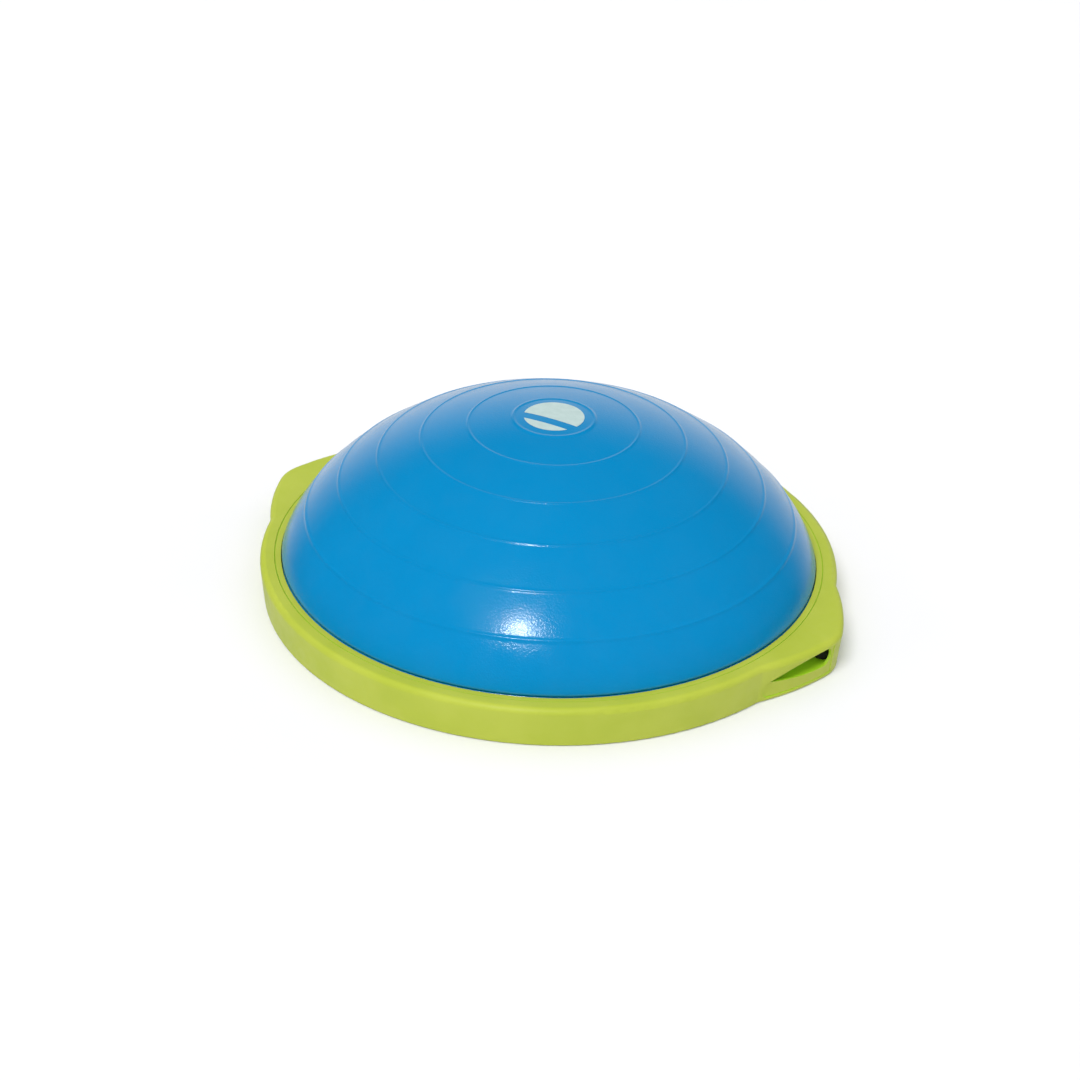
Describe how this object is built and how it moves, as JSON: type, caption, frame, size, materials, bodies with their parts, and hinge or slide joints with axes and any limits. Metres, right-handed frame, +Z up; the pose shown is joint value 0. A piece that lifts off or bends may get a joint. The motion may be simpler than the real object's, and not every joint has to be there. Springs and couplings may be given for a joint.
{
  "type": "balance dome trainer",
  "caption": "Half-ball balance trainer: an air-filled ribbed dome clamped in a round ribbed platform with two slotted carrying handles and rubber feet.",
  "frame": {"origin": "centre of the platform on the floor, at the level of the feet's contact faces", "axes": "+X through a carrying handle, +Y towards the air valve, +Z up through the dome's crown"},
  "size_m": [0.5514, 0.5058, 0.1693],
  "materials": {
    "dome_vinyl": "smooth burst-resistant vinyl, satin with a soft sheen",
    "plug_plastic": "moulded, satin",
    "seal_rubber": "matt",
    "badge_ink": "printed film, satin",
    "lime_plastic": "fine spark texture, satin",
    "inner_plastic": "moulded, plain",
    "base_plastic": "fine spark texture, satin",
    "screw_steel": "zinc plated",
    "foot_rubber": "matt, grooved tread"
  },
  "bodies": {
    "root": {"dome_bladder": "dome_vinyl", "valve_seat": "dome_vinyl", "rim_seal": "seal_rubber", "platform_ring": "lime_plastic", "deck_plate": "inner_plastic", "base_plate": "base_plastic", "deck_screws": "screw_steel", "base_screws": "screw_steel", "foot_1": "foot_rubber", "foot_2": "foot_rubber", "foot_3": "foot_rubber", "foot_4": "foot_rubber", "foot_5": "foot_rubber", "foot_6": "foot_rubber", "foot_7": "foot_rubber", "foot_8": "foot_rubber"},
    "crown": {"badge_upper": "badge_ink", "badge_lower": "badge_ink"},
    "plug": {"valve_plug": "plug_plastic"}
  },
  "joints": [
    {"name": "crown_press", "type": "slide", "parent": "root", "child": "crown", "axis": [0, 0, -1], "range_m": [0, 0.05], "stiffness_N_per_m": 14000, "deforming": ["dome_bladder"]},
    {"name": "plug_pull", "type": "slide", "parent": "root", "child": "plug", "axis": [0, 0.8711, 0.4912], "range_m": [0, 0.025]}
  ]
}
